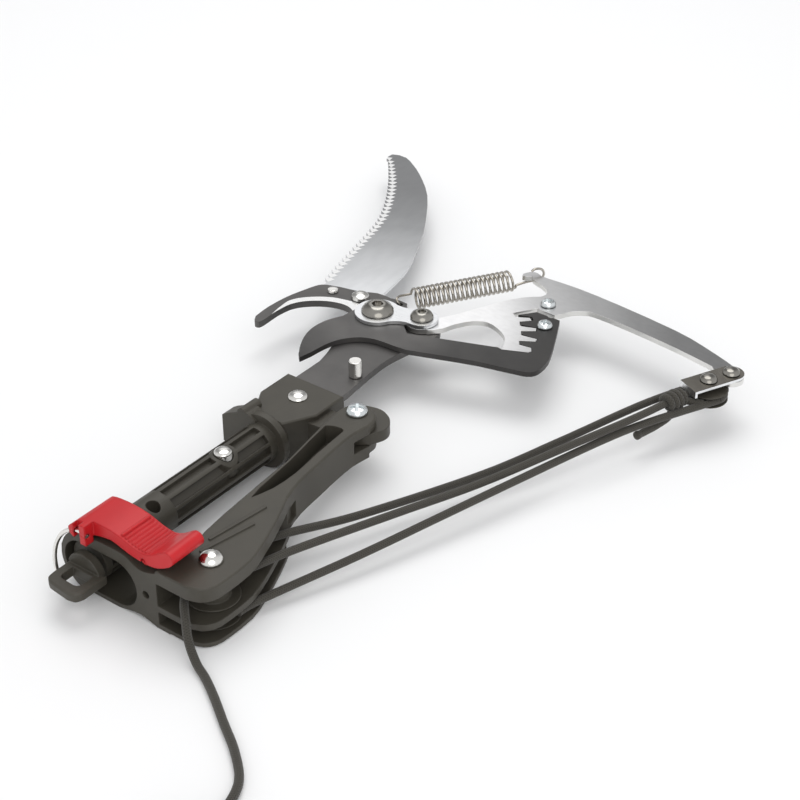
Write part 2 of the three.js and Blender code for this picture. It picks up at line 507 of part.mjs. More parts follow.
function sheave(at, z0, z1, flangeR, coreR, boreR) {
  const lip = Math.min(1.2, (z1 - z0 - 2 * ROPE_R - 0.8) / 2);
  return turned(at.x, at.y, [[boreR, z0], [flangeR, z0], [flangeR, z0 + lip * 0.6], [coreR, z0 + lip],
    [coreR, z1 - lip], [flangeR, z1 - lip * 0.6], [flangeR, z1], [boreR, z1], [boreR, z0]], 26);
}
const guideSheave = (channel) => sheave(SHEAVE_AXLE, channel.z0 + GAP, channel.z1 - GAP, 13, 8.4, 2.6 + GAP);
add('guide_sheave_upper', guideSheave(UPPER_CHANNEL), NYLON);
add('guide_sheave_lower', guideSheave(LOWER_CHANNEL), NYLON);

// ---------- red clamp lever, its pin, the split ring and the pull loop ----------
const CLAMP_SECTION = outline([
  { curve: [[59.4, 45], [58, 47.6], [54.6, 48.2], [50.6, 45.6], [46.2, 42.6], [40.6, 40.6], [33.6, 41.4],
    [25, 44],
    [16, 45], [7, 44.6], [1, 43.4], [-1.8, 40.6]], steps: 2 },
  { curve: [[-1.4, 37.4], [1.6, 35.6], [5.6, 35.8], [12, 37.6], [20, 38.9], [27, 37.3], [33.6, 35.8],
    [41, 35.3],
    [47, 35.8], [52, 37.8], [56.6, 40.6], [59, 43]], steps: 2 }]);

// Open wire ring: from the right prong round to the left, past the pull loop and under it.
const RING = { x: 4.4, y: CLAMP.y0 - 4, z: 22.2, wide: 15.6, tall: 17, wire: 1.1, drop: 0.22 };
const ringPath = (from) => Array.from({ length: 27 }, (_, i) => {
  const angle = THREE.MathUtils.degToRad(from + ((262 - from) * i) / 26);
  const z = RING.tall * Math.sin(angle);
  return [RING.x + RING.wide * Math.cos(angle), RING.y - RING.drop * (RING.tall - z), RING.z + z];
});

function makeClampLever() {
  let body = beamY(CLAMP_SECTION, CLAMP.y0, CLAMP.y1);
  for (let i = 0; i < 9; i += 1) {
    const x = 26.4 + i * 2.1;
    const rise = 40.5 + ((x - 40) * (x - 40)) / 56;
    body = body.add(rodY(x, rise, 0.8, CLAMP.y0 + 1.2, CLAMP.y1 - 1.2, 8));
  }
  body = body.add(rodY(CLAMP.pin.x, CLAMP.pin.z, 2.9, CLAMP.y0 + 1.4, CLAMP.y1 - 1.4, 18));
  body = body.subtract(box(CLAMP.pin.x - 4, CLAMP.pin.x + 4, -200.4 - GAP, -196.4 + GAP, 28,
    CLAMP.pin.z + 2.6 + GAP));

  // two prongs at the left front corner, drilled for the split ring
  const slab = beamY(CLAMP_SECTION, CLAMP.y0 - 5.8, CLAMP.y0 + 1)
    .add(box(5.4, 9, CLAMP.y0 - 5.8, HOUSING.end - GAP, 33.6, 40));
  const corner = slab.intersect(box(-12, 9, -230, -200, 30, 50));
  const prongs = corner.subtract(box(1.4, 5.4, -230, CLAMP.y0 - 2.6, 30, 50));
  const ringHole = tube(ringPath(50), RING.wire + GAP + 0.1, 10, 1);
  const pinHole = rodY(CLAMP.pin.x, CLAMP.pin.z, 1.3 + GAP, -230, -170, 14);
  return body.add(prongs).subtract(ringHole).subtract(pinHole);
}
add('clamp_lever', makeClampLever(), RED);
add('clamp_lever_pin', rodY(CLAMP.pin.x, CLAMP.pin.z, 1.3, -206.4, -190.4, 14), ZINC);

add('split_ring', tube(ringPath(73), RING.wire, 8, 1), CHROME);

function makePullLoop() {
  const plug = rodY(4.4, AXIS_Z, 10.4, -213.6, HOUSING.end - GAP, 32);
  const ring = plate(outline([
    { line: [[-5.6, -211]] }, { curve: [[-5.6, -223], [-4.8, -227.4], [-1.4, -229.8]] },
    { curve: [[10.6, -231], [15.2, -229.8], [17.2, -225.6]] }, { line: [[17.2, -211]] }]),
  AXIS_Z - 2.6, AXIS_Z + 2.6, 0.8);
  const hole = plate(outline([
    { line: [[-0.4, -215.6]] }, { curve: [[-0.4, -222], [0.4, -224], [2.2, -224.6]] },
    { curve: [[9.4, -225], [11.6, -224.2], [12.4, -222.2]] }, { line: [[12.4, -215.6]] }]), 0, 40);
  return plug.add(ring).subtract(hole);
}
add('pull_loop', makePullLoop(), NYLON);

// ---------- shackle at the lever's end: folded strap, rivet, axle and flanged sheave ----------
const strapTurn = THREE.MathUtils.radToDeg(Math.atan2(AXLE.y - E.y, AXLE.x - E.x));
const axleReach = Math.hypot(AXLE.x - E.x, AXLE.y - E.y);
const STRAP = { top0: LINK.z0, top1: LINK.z0 + 1.5, low0: 17.2, low1: 18.7, half: 7, end: 28.2, lip: 26.2 };
const SHEAVE_CORE = 6.6;

function placeStrap(body) {
  return body.rotate([0, 0, strapTurn]).translate([E.x, E.y, 0]);
}

// The upper leg holds the lever's end and the axle; the fold's lip narrows to a web down to the lower leg.
function makeStrap() {
  const upper = plate(outline([
    { line: arc(0, 0, STRAP.half, 96, 264, 10) },
    { line: [[STRAP.end, -STRAP.half], [STRAP.end, STRAP.half]] }]), STRAP.top0, STRAP.top1);
  const lower = plate(outline([
    { line: arc(axleReach, 0, 5.6, 90, 270, 10) },
    { line: [[STRAP.end, -2.2], [STRAP.end, 2.2]] }]), STRAP.low0, STRAP.low1);
  const lip = box(STRAP.end - 1.5, STRAP.end, -STRAP.half, STRAP.half, STRAP.lip, STRAP.top1);
  const web = box(STRAP.end - 1.5, STRAP.end, -2.2, 2.2, STRAP.low0, STRAP.top1);
  const body = upper.add(lower).add(lip).add(web)
    .subtract(post(0, 0, 2.5 + GAP, 0, 40, 18))
    .subtract(post(axleReach, 0, 2.4 + GAP, 0, 40, 18));
  return placeStrap(body);
}
add('shackle_strap', makeStrap(), SILVER);

function shackleRivet(at, shank, peenR, footZ) {
  return turned(at.x, at.y, [[0, footZ - 1.2], [peenR, footZ - 1.2], [peenR, footZ], [shank, footZ],
    [shank, STRAP.top1 + GAP], [4.8, STRAP.top1 + GAP], [4.3, STRAP.top1 + 1.7], [2.8, STRAP.top1 + 2.6],
    [0, STRAP.top1 + 3]], 20);
}
add('shackle_rivet', shackleRivet(E, 2.5, 3.1, BLADE.z0 - GAP), ZINC);
add('shackle_axle', shackleRivet(AXLE, 2.4, 4.2, STRAP.low0 - GAP), ZINC);
add('shackle_sheave', sheave(AXLE, STRAP.low1 + GAP, BLADE.z0 - GAP, 11.2, SHEAVE_CORE, 2.4 + GAP), NYLON);

// ---------- rope: three strands, the knot, the pulled end and its coil ----------
const ROPE_Z = { upper: 20.4, lower: 6.7, shackle: 22 };
const along = new THREE.Vector2(AXLE.x - 78, AXLE.y + 176).normalize();
const across = new THREE.Vector2(-along.y, along.x);
const TANGENT = SHEAVE_CORE + ROPE_R + GAP;
const KNOT = { back: 22.2, side: 1.8, z: 24.8, wide: 4.9, long: 7.2 };
const besideSheave = (side) => [
  AXLE.x + side * across.x * TANGENT, AXLE.y + side * across.y * TANGENT, ROPE_Z.shackle];
const behindAxle = (back, z) => [AXLE.x - along.x * back + across.x * KNOT.side,
  AXLE.y - along.y * back + across.y * KNOT.side, z];

add('rope_strand_left', tube([[51.2, -184, ROPE_Z.upper], [51.6, -168, ROPE_Z.upper], [62, -137, 18],
  [78.1, -97.9, 13.4],
  [104.7, -33, 11.6], [123.4, 12.4, 15.4], [142.8, 59.5, 20.6], besideSheave(1)], ROPE_R, 8, 3), ROPE);
add('rope_strand_middle', tube([[68.6, -168, ROPE_Z.upper], [76.4, -143, 20], [96.5, -89.6, 18.6],
  [113.2, -45.4, 17.4],
  [132, 0, 21], [148.4, 42, 23.6], behindAxle(KNOT.back + KNOT.long + GAP, KNOT.z)], ROPE_R, 8, 3), ROPE);
add('rope_strand_right', tube([[73.8, -184, ROPE_Z.lower], [76.2, -171, 6.9], [95.2, -119.6, 10.2],
  [110, -74.8, 12.8],
  [125.6, -27, 15.4], [141.8, 22.6, 17.6], [153.4, 50, 19.2], besideSheave(-1)], ROPE_R, 8, 3), ROPE);
add('rope_knot', solid(new THREE.SphereGeometry(1, 14, 10).scale(KNOT.wide, KNOT.long, KNOT.wide)
  .rotateZ(along.angle() - Math.PI / 2).translate(...behindAxle(KNOT.back, KNOT.z))), ROPE);
add('rope_tail', tube([behindAxle(KNOT.back, 14.8), [154.6, 59, 13.4], [152.6, 51, 13], [150.6, 43.6, 13]],
  ROPE_R, 8, 3), ROPE);

const COIL = { x: 176, y: -318, mean: 25, half: 8.4, z0: 0.2, z1: 17 };
const PULL_END = [[57, -200.4, 20.4], [62, -206.4, 20], [67.5, -211.6, 17.6], [71.6, -215.2, 12.6],
  [75.4, -217.2, 7.4], [81, -219.6, 3.4], [88.6, -222.8, 2.4], [100, -229.6, 2.4], [114, -239, 2.4],
  [130, -249.6, 2.4], [143, -262, 2.4], [148.4, -278, 2.4], [148, -292, 2.4]];
add('rope_pull_end', tube(PULL_END, ROPE_R, 8, 2), ROPE);
add('rope_coil', turned(COIL.x, COIL.y, [[COIL.mean - COIL.half, COIL.z0], [COIL.mean + COIL.half, COIL.z0],
  [COIL.mean + COIL.half, COIL.z1], [COIL.mean - COIL.half, COIL.z1], [COIL.mean - COIL.half, COIL.z0]],
    40), ROPE);

export default part;
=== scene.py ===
"""Looks for a rope-operated pruner head with a pole saw. Metres, +Y along the pole, floor at z = 0."""
import json
import math

import bmesh
import bpy
import numpy as np
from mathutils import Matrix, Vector

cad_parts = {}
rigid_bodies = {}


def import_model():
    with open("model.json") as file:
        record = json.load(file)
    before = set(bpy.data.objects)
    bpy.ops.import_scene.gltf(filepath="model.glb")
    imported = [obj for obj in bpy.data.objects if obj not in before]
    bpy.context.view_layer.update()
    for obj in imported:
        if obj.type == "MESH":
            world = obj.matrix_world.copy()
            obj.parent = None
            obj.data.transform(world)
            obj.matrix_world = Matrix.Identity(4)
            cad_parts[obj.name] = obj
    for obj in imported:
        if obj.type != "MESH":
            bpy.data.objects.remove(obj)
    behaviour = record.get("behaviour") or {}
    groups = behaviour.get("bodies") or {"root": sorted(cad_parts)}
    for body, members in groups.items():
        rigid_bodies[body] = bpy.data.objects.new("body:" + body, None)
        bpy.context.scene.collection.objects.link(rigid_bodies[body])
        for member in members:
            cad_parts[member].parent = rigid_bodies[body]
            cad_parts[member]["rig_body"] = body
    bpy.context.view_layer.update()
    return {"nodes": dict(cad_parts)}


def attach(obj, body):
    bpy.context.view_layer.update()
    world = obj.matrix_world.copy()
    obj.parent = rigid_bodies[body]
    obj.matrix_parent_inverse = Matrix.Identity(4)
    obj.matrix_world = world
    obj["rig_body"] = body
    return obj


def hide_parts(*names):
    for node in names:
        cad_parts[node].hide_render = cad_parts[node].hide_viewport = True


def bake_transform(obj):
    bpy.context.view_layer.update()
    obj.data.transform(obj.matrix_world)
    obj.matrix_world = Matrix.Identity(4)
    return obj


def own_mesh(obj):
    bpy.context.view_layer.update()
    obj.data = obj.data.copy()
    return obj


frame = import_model()

MM = 0.001
POLE = (-16.29, 3.75)          # the pole axis in the frame, in millimetres
BLADE_PIVOT = (-17.8, 40.0)
PLATE_TOP = 25.05              # just above the hook plate
SAW_TOP = 20.75                # just above the saw blade
scene = bpy.context.scene


def at(x, y, z):
    """A point given in millimetres from the pole axis, in the frame's metres."""
    return Vector(((x + POLE[0]) * MM, (y + POLE[1]) * MM, z * MM))


# ---------- camera, floor and light ----------
CAMERA_AT = (521.9, -650.0, 549.4)
LOOK_AT = (28.5, 0, 19.5)
FOCAL_LENGTH = 81
SHIFT_Y = -0.01875
FLOOR_HALF = 9.0
WALL_TOWARDS = (-0.56, 0.64, 0.53)
ROOM_LEVELS = ((0.0, 0.92), (0.62, 0.80), (0.88, 0.34), (0.955, 0.40), (0.985, 1.05), (1.0, 1.15))
ROOM_STRENGTH = 0.95


def make_camera():
    data = bpy.data.cameras.new("camera")
    data.sensor_width = 36
    data.lens = FOCAL_LENGTH
    data.shift_y = SHIFT_Y
    data.clip_start = 0.05
    camera = bpy.data.objects.new("camera", data)
    camera.location = at(*CAMERA_AT)
    look = at(*LOOK_AT) - camera.location
    camera.rotation_euler = look.to_track_quat("-Z", "Y").to_euler()
    scene.collection.objects.link(camera)
    scene.camera = camera


def make_floor():
    mesh = bpy.data.meshes.new("floor")
    corners = [(x * FLOOR_HALF, y * FLOOR_HALF, 0) for x, y in ((-1, -1), (1, -1), (1, 1), (-1, 1))]
    mesh.from_pydata(corners, [], [(0, 1, 2, 3)])
    floor = bpy.data.objects.new("floor", mesh)
    scene.collection.objects.link(floor)
    material = bpy.data.materials.new("floor")
    material.use_nodes = True
    shader = material.node_tree.nodes["Principled BSDF"]
    shader.inputs["Base Color"].default_value = (0.86, 0.865, 0.87, 1)
    shader.inputs["Roughness"].default_value = 0.7
    shader.inputs["Specular IOR Level"].default_value = 0.2
    mesh.materials.append(material)


def make_light(name, place, size, power, colour):
    data = bpy.data.lights.new(name, "AREA")
    data.shape = "DISK"
    data.size = size
    data.energy = power
    data.color = colour
    light = bpy.data.objects.new(name, data)
    light.location = place
    light.rotation_euler = (-Vector(place)).to_track_quat("-Z", "Y").to_euler()
    scene.collection.objects.link(light)


def make_world():
    """A pale room with one bright wall up behind the tool, which the flat steel reflects."""
    world = bpy.data.worlds.new("studio")
    scene.world = world
    world.use_nodes = True
    nodes, links = world.node_tree.nodes, world.node_tree.links
    place = nodes.new("ShaderNodeTexCoord")
    facing = nodes.new("ShaderNodeVectorMath")
    facing.operation = "DOT_PRODUCT"
    facing.inputs[1].default_value = Vector(WALL_TOWARDS).normalized()
    ramp = nodes.new("ShaderNodeValToRGB")
    links.new(place.outputs["Generated"], facing.inputs[0])
    links.new(facing.outputs["Value"], ramp.inputs["Fac"])
    for _ in range(len(ROOM_LEVELS) - 2):
        ramp.color_ramp.elements.new(0.5)
    for element, (position, level) in zip(ramp.color_ramp.elements, ROOM_LEVELS):
        element.position = position
        element.color = (level, level, level * 1.01, 1)
    links.new(ramp.outputs["Color"], nodes["Background"].inputs["Color"])
    nodes["Background"].inputs["Strength"].default_value = ROOM_STRENGTH


scene.view_settings.view_transform = "Standard"
make_camera()
make_floor()
make_world()
make_light("window", (-0.35, 0.45, 1.5), 1.3, 10.5, (1, 0.995, 0.985))
make_light("fill", (0.9, -0.9, 0.9), 1.4, 6.5, (1, 0.985, 0.96))


# ---------- materials ----------
def grain(tree, scale, stretch=(1, 1, 1), detail=4.0):
    place = tree.nodes.new("ShaderNodeTexCoord")
    mapping = tree.nodes.new("ShaderNodeMapping")
    mapping.inputs["Scale"].default_value = stretch
    noise = tree.nodes.new("ShaderNodeTexNoise")
    noise.inputs["Scale"].default_value = scale
    noise.inputs["Detail"].default_value = detail
    tree.links.new(place.outputs["Object"], mapping.inputs["Vector"])
    tree.links.new(mapping.outputs["Vector"], noise.inputs["Vector"])
    return noise.outputs["Fac"]


def blend_colours(tree, factor, low, high, low_at=0.3, high_at=0.7):
    ramp = tree.nodes.new("ShaderNodeValToRGB")
    ramp.color_ramp.elements[0].position = low_at
    ramp.color_ramp.elements[0].color = (*low, 1)
    ramp.color_ramp.elements[1].position = high_at
    ramp.color_ramp.elements[1].color = (*high, 1)
    tree.links.new(factor, ramp.inputs["Fac"])
    return ramp.outputs["Color"]


def spread(tree, factor, low, high):
    remap = tree.nodes.new("ShaderNodeMapRange")
    remap.inputs["To Min"].default_value = low
    remap.inputs["To Max"].default_value = high
    tree.links.new(factor, remap.inputs["Value"])
    return remap.outputs["Result"]


def add_bump(tree, shader, height, strength, distance, rounding=0.0):
    bump = tree.nodes.new("ShaderNodeBump")
    if rounding:
        corner = tree.nodes.new("ShaderNodeBevel")
        corner.samples = 6
        corner.inputs["Radius"].default_value = rounding
        tree.links.new(corner.outputs["Normal"], bump.inputs["Normal"])
    bump.inputs["Strength"].default_value = strength
    bump.inputs["Distance"].default_value = distance
    tree.links.new(height, bump.inputs["Height"])
    tree.links.new(bump.outputs["Normal"], shader.inputs["Normal"])


def surface(name, low, high, rough, metallic=0.0, blotch=60, stretch=(1, 1, 1), fine=1800, bump=0.08,
            depth=0.0001, specular=0.5, rounding=0.0):
    """A finish whose colour and roughness wander between two values, with a fine grain and soft corners."""
    material = bpy.data.materials.new(name)
    material.use_nodes = True
    tree = material.node_tree
    shader = tree.nodes["Principled BSDF"]
    shader.inputs["Metallic"].default_value = metallic
    shader.inputs["Specular IOR Level"].default_value = specular
    blotches = grain(tree, blotch, stretch)
    tree.links.new(blend_colours(tree, blotches, low, high), shader.inputs["Base Color"])
    tree.links.new(spread(tree, blotches, rough[0], rough[1]), shader.inputs["Roughness"])
    add_bump(tree, shader, grain(tree, fine, stretch, 2.0), bump, depth, rounding)
    return material


NYLON = surface("nylon", (0.043, 0.039, 0.030), (0.056, 0.051, 0.040), (0.42, 0.54), fine=2600, bump=0.14,
                specular=0.38, rounding=0.0008)
COATED = surface("coated_steel", (0.092, 0.089, 0.087), (0.122, 0.118, 0.114), (0.36, 0.46), metallic=0.75,
                 fine=3200, bump=0.1, specular=0.6)
COATED_EDGE = surface("coated_edge", (0.05, 0.047, 0.042), (0.09, 0.086, 0.08), (0.4, 0.5), metallic=0.6,
                      fine=3200)
SILVER = surface("silver", (0.78, 0.79, 0.80), (0.86, 0.87, 0.88), (0.24, 0.34), metallic=1, blotch=90,
                 stretch=(1, 9, 1), bump=0.05)
SILVER_EDGE = surface("silver_edge", (0.66, 0.66, 0.64), (0.84, 0.83, 0.81), (0.25, 0.4), metallic=1)
SAW = surface("saw_steel", (0.70, 0.71, 0.72), (0.77, 0.78, 0.79), (0.30, 0.38), metallic=1, blotch=60,
              stretch=(3, 1.2, 1), bump=0.04)
LEVER = surface("lever_steel_painted_falloff", (0.90, 0.90, 0.90), (0.97, 0.97, 0.97), (0.26, 0.36), metallic=1, blotch=220,
                stretch=(1, 2, 1), bump=0.07)
GROUND = surface("ground_steel", (0.80, 0.80, 0.79), (0.90, 0.90, 0.89), (0.18, 0.28), metallic=1, blotch=300,
                 stretch=(1, 6, 1), bump=0.05)
BOLT = surface("dark_bolt", (0.22, 0.21, 0.19), (0.32, 0.31, 0.285), (0.14, 0.22), metallic=1, bump=0.03)
# Painted shade: the strap's upward faces get this dark steel and its sides bright silver, though the strap is
# one steel.
STRAP_TOP_PAINTED_DARK = surface("strap_steel_painted_dark", (0.14, 0.13, 0.112), (0.24, 0.225, 0.20), (0.22, 0.32), metallic=1, bump=0.05)
DOME = surface("bright_dome", (0.70, 0.69, 0.66), (0.82, 0.81, 0.78), (0.13, 0.22), metallic=1, bump=0.03)
ZINC = surface("zinc_plate", (0.62, 0.66, 0.67), (0.76, 0.79, 0.80), (0.16, 0.26), metallic=1, bump=0.04)
SPRING = surface("spring_nickel", (0.38, 0.355, 0.31), (0.54, 0.51, 0.46), (0.16, 0.26), metallic=1,
                 bump=0.03)
RED = surface("red_plastic", (0.44, 0.010, 0.014), (0.52, 0.014, 0.019), (0.34, 0.42), fine=2600, bump=0.1,
              specular=0.32, rounding=0.0011)


STRANDS_AROUND = 6
PLAIT_PITCH = 7.5  # millimetres along the rope for each turn of a strand


def make_rope_material():
    """Plaited cord: two families of strands wind opposite ways round it, in the mesh's own lengthwise map."""
    material = bpy.data.materials.new("braided_rope")
    material.use_nodes = True
    tree = material.node_tree
    shader = tree.nodes["Principled BSDF"]
    place = tree.nodes.new("ShaderNodeUVMap")
    split = tree.nodes.new("ShaderNodeSeparateXYZ")
    tree.links.new(place.outputs["UV"], split.inputs[0])
    families = []
    for hand in (-1, 1):
        lengthwise = tree.nodes.new("ShaderNodeMath")
        lengthwise.operation = "MULTIPLY"
        lengthwise.inputs[1].default_value = 2 * math.pi * STRANDS_AROUND / PLAIT_PITCH
        tree.links.new(split.outputs["X"], lengthwise.inputs[0])
        turn = tree.nodes.new("ShaderNodeMath")
        turn.operation = "MULTIPLY_ADD"
        turn.inputs[1].default_value = hand * 2 * math.pi * STRANDS_AROUND
        tree.links.new(split.outputs["Y"], turn.inputs[0])
        tree.links.new(lengthwise.outputs[0], turn.inputs[2])
        wave = tree.nodes.new("ShaderNodeMath")
        wave.operation = "SINE"
        tree.links.new(turn.outputs[0], wave.inputs[0])
        families.append(wave)
    top = tree.nodes.new("ShaderNodeMath")
    top.operation = "MAXIMUM"
    tree.links.new(families[0].outputs[0], top.inputs[0])
    tree.links.new(families[1].outputs[0], top.inputs[1])
    height = tree.nodes.new("ShaderNodeMapRange")
    height.inputs["From Min"].default_value = -1
    tree.links.new(top.outputs[0], height.inputs["Value"])
    # Painted shade: the plait is darker in its grooves and lighter on the strand crowns.
    colour = blend_colours(tree, height.outputs["Result"], (0.024, 0.021, 0.016), (0.046, 0.042, 0.033),
                           0.3, 0.95)
    tree.links.new(colour, shader.inputs["Base Color"])
    shader.inputs["Roughness"].default_value = 0.8
    shader.inputs["Sheen Weight"].default_value = 0.15
    add_bump(tree, shader, height.outputs["Result"], 0.7, 0.0003)
    return material


ROPE = make_rope_material()


PAINTED_FALLOFF_SPAN = 250.0  # millimetres


def paint_reflection_falloff(material, stops):
    """Painted reflection falloff: colour bright round the blade pivot and darker further out; a stop is
    (millimetres away, level).
    """
    tree = material.node_tree
    shader = tree.nodes["Principled BSDF"]
    pivot = at(*BLADE_PIVOT, 0)
    place = tree.nodes.new("ShaderNodeTexCoord")
    flat = tree.nodes.new("ShaderNodeVectorMath")
    flat.operation = "MULTIPLY"
    flat.inputs[1].default_value = (1, 1, 0)
    tree.links.new(place.outputs["Object"], flat.inputs[0])
    away = tree.nodes.new("ShaderNodeVectorMath")
    away.operation = "DISTANCE"
    away.inputs[1].default_value = (pivot.x, pivot.y, 0)
    tree.links.new(flat.outputs[0], away.inputs[0])
    span = tree.nodes.new("ShaderNodeMapRange")
    span.inputs["From Max"].default_value = PAINTED_FALLOFF_SPAN * MM
    tree.links.new(away.outputs["Value"], span.inputs["Value"])
    ramp = tree.nodes.new("ShaderNodeValToRGB")
    ramp.color_ramp.interpolation = "EASE"
    for _ in range(len(stops) - 2):
        ramp.color_ramp.elements.new(0.5)
    for element, (distance, level) in zip(ramp.color_ramp.elements, stops):
        element.position = distance / PAINTED_FALLOFF_SPAN
        element.color = (level, level, level, 1)
    tree.links.new(span.outputs["Result"], ramp.inputs["Fac"])
    mix = tree.nodes.new("ShaderNodeMix")
    mix.data_type = "RGBA"
    mix.blend_type = "MULTIPLY"
    mix.inputs["Factor"].default_value = 1
    tree.links.new(shader.inputs["Base Color"].links[0].from_socket, mix.inputs["A"])
    tree.links.new(ramp.outputs["Color"], mix.inputs["B"])
    tree.links.new(mix.outputs["Result"], shader.inputs["Base Color"])


# Painted reflection: the saw, the lever and the cutter fade from bright near the blade pivot to dark further
# out.
CUTTER = COATED.copy()
CUTTER.name = "cutter_steel_painted_falloff"
paint_reflection_falloff(SAW, ((40, 1.0), (72, 0.79), (103, 0.575), (123, 0.455), (143, 0.385), (170, 0.33)))
paint_reflection_falloff(LEVER, ((60, 1.0), (101, 0.57), (127, 0.44), (148, 0.33), (168, 0.27)))
paint_reflection_falloff(CUTTER, ((25, 1.05), (66, 0.52), (104, 0.42)))


# ---------- mesh helpers ----------
def add_object(name, mesh, body, materials, replaces=()):
    obj = bpy.data.objects.new(name, mesh)
    scene.collection.objects.link(obj)
    mesh.materials.clear()
    for material in materials:
        mesh.materials.append(material)
    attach(obj, body)
    if replaces:
        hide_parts(*replaces)
    return obj


def smooth(mesh, degrees):
    mesh.polygons.foreach_set("use_smooth", [True] * len(mesh.polygons))
    mesh.set_sharp_from_angle(angle=math.radians(degrees))


def finish_node(node, materials, width=0.0, segments=2, degrees=34):
    """A welded and smooth copy of a CAD node, standing for it; its edges are rounded by width millimetres."""
    source = frame["nodes"][node]
    work = bmesh.new()
    work.from_mesh(source.data)
    bmesh.ops.remove_doubles(work, verts=work.verts, dist=2e-6)
    if width:
        bmesh.ops.dissolve_limit(work, angle_limit=math.radians(1), verts=work.verts, edges=work.edges)
    mesh = bpy.data.meshes.new(node + "_finished")
    work.to_mesh(mesh)
    work.free()
    for layer in ("custom_normal", "sharp_edge"):
        if layer in mesh.attributes:
            mesh.attributes.remove(mesh.attributes[layer])
    obj = add_object(node + "_finished", mesh, source["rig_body"], materials, (node,))
    mesh.polygons.foreach_set("material_index", [0] * len(mesh.polygons))
    smooth(mesh, degrees)
    if width:
        bevel = obj.modifiers.new("edges", "BEVEL")
        bevel.width = width * MM
        bevel.segments = segments
        bevel.limit_method = "ANGLE"
        bevel.angle_limit = math.radians(degrees)
        bevel.use_clamp_overlap = True
        bevel.material = len(materials) - 1
    flats = obj.modifiers.new("flats", "WEIGHTED_NORMAL")
    flats.keep_sharp = True
    bpy.context.view_layer.update()
    done = bpy.data.meshes.new_from_object(obj.evaluated_get(bpy.context.evaluated_depsgraph_get()))
    obj.modifiers.clear()
    obj.data = done
    return obj


def rounded(points, count, stiff_ends=False):
    """A smooth curve through the points, evenly resampled; stiff ends leave it without a run-on curve."""
    points = np.array([tuple(p) for p in points], float)
    padded = np.vstack([2 * points[0] - points[1], points, 2 * points[-1] - points[-2]])
    if stiff_ends:
        padded[0], padded[-1] = points[0], points[-1]
    fine = []
    for i in range(len(points) - 1):
        p0, p1, p2, p3 = padded[i : i + 4]
        for t in np.linspace(0, 1, 24, endpoint=False):
            fine.append(0.5 * (2 * p1 + (p2 - p0) * t + (2 * p0 - 5 * p1 + 4 * p2 - p3) * t * t
                               + (3 * p1 - p0 - 3 * p2 + p3) * t ** 3))
    fine.append(points[-1])
    fine = np.array(fine)
    run = np.concatenate([[0], np.cumsum(np.linalg.norm(np.diff(fine, axis=0), axis=1))])
    even = np.linspace(0, run[-1], count)
    return np.stack([np.interp(even, run, fine[:, k]) for k in range(3)], axis=1)


def tube_mesh(name, path, radius, sides=12, cap=0.35):
    """A closed tube along the path, in metres; its map runs in millimetres along and in turns around.

    The ends are low cones, cap radii high."""
    path = np.asarray(path, float)
    tangents = np.gradient(path, axis=0)
    tangents /= np.linalg.norm(tangents, axis=1)[:, None]
    side = np.cross(tangents[0], (0.0, 0.0, 1.0))
    if np.linalg.norm(side) < 1e-3:
        side = np.cross(tangents[0], (1.0, 0.0, 0.0))
    side /= np.linalg.norm(side)
    length = np.concatenate([[0], np.cumsum(np.linalg.norm(np.diff(path, axis=0), axis=1))])
    radii = np.broadcast_to(np.asarray(radius, float), (len(path),)).copy()
    verts, faces = [], []
    for i, (centre, tangent) in enumerate(zip(path, tangents)):
        side = side - tangent * np.dot(side, tangent)
        side /= np.linalg.norm(side)
        up = np.cross(tangent, side)
        for k in range(sides):
            angle = 2 * math.pi * k / sides
            verts.append(centre + radii[i] * (math.cos(angle) * side + math.sin(angle) * up))
    rings = len(path)
    for i in range(rings - 1):
        for k in range(sides):
            a, b = i * sides + k, i * sides + (k + 1) % sides
            faces.append((a, b, b + sides, a + sides))
    for end, sign in ((0, -1), (rings - 1, 1)):
        verts.append(path[end] + tangents[end] * sign * radii[end] * cap)
        tip = len(verts) - 1
        for k in range(sides):
            a, b = end * sides + k, end * sides + (k + 1) % sides
            faces.append((b, a, tip) if sign < 0 else (a, b, tip))
    mesh = bpy.data.meshes.new(name)
    mesh.from_pydata([tuple(v) for v in verts], [], faces)
    layer = mesh.uv_layers.new(name="UVMap")
    for polygon in mesh.polygons:
        corners = list(polygon.vertices)
        wraps = len({v % sides for v in corners if v < rings * sides} & {0, sides - 1}) == 2
        for loop_index, v in zip(polygon.loop_indices, corners):
            if v >= rings * sides:
                ring, k = (0 if v == rings * sides else rings - 1), 0
            else:
                ring, k = divmod(v, sides)
            around = k / sides + (1 if wraps and k == 0 else 0)
            layer.data[loop_index].uv = (length[ring] / MM, around)
    smooth(mesh, 50)
    return mesh


# ---------- pull rope: out of the guide, along the floor, and stored in a neat coil ----------
ROPE_R = 2.1
ROPE_LENGTH = 2.5
COIL = {"x": 176.0, "y": -318.0, "mean": 25.0, "turns": 15.2, "columns": 4, "layers": 4}
TIE = {"angle": 0.5, "half": 9.9, "middle": 10.2, "wire": 0.5}
PULL_END = [(57, -200.4, 20.4), (62, -206.4, 20), (67.5, -211.6, 17.6), (71.6, -215.2, 12.6),
            (75.4, -217.2, 7.4), (81, -219.6, 3.4), (88.6, -222.8, 2.4), (100, -229.6, 2.4),
            (114, -239, 2.4), (130, -249.6, 2.4), (143, -262, 2.4), (148.4, -278, 2.4), (148, -292, 2.4)]


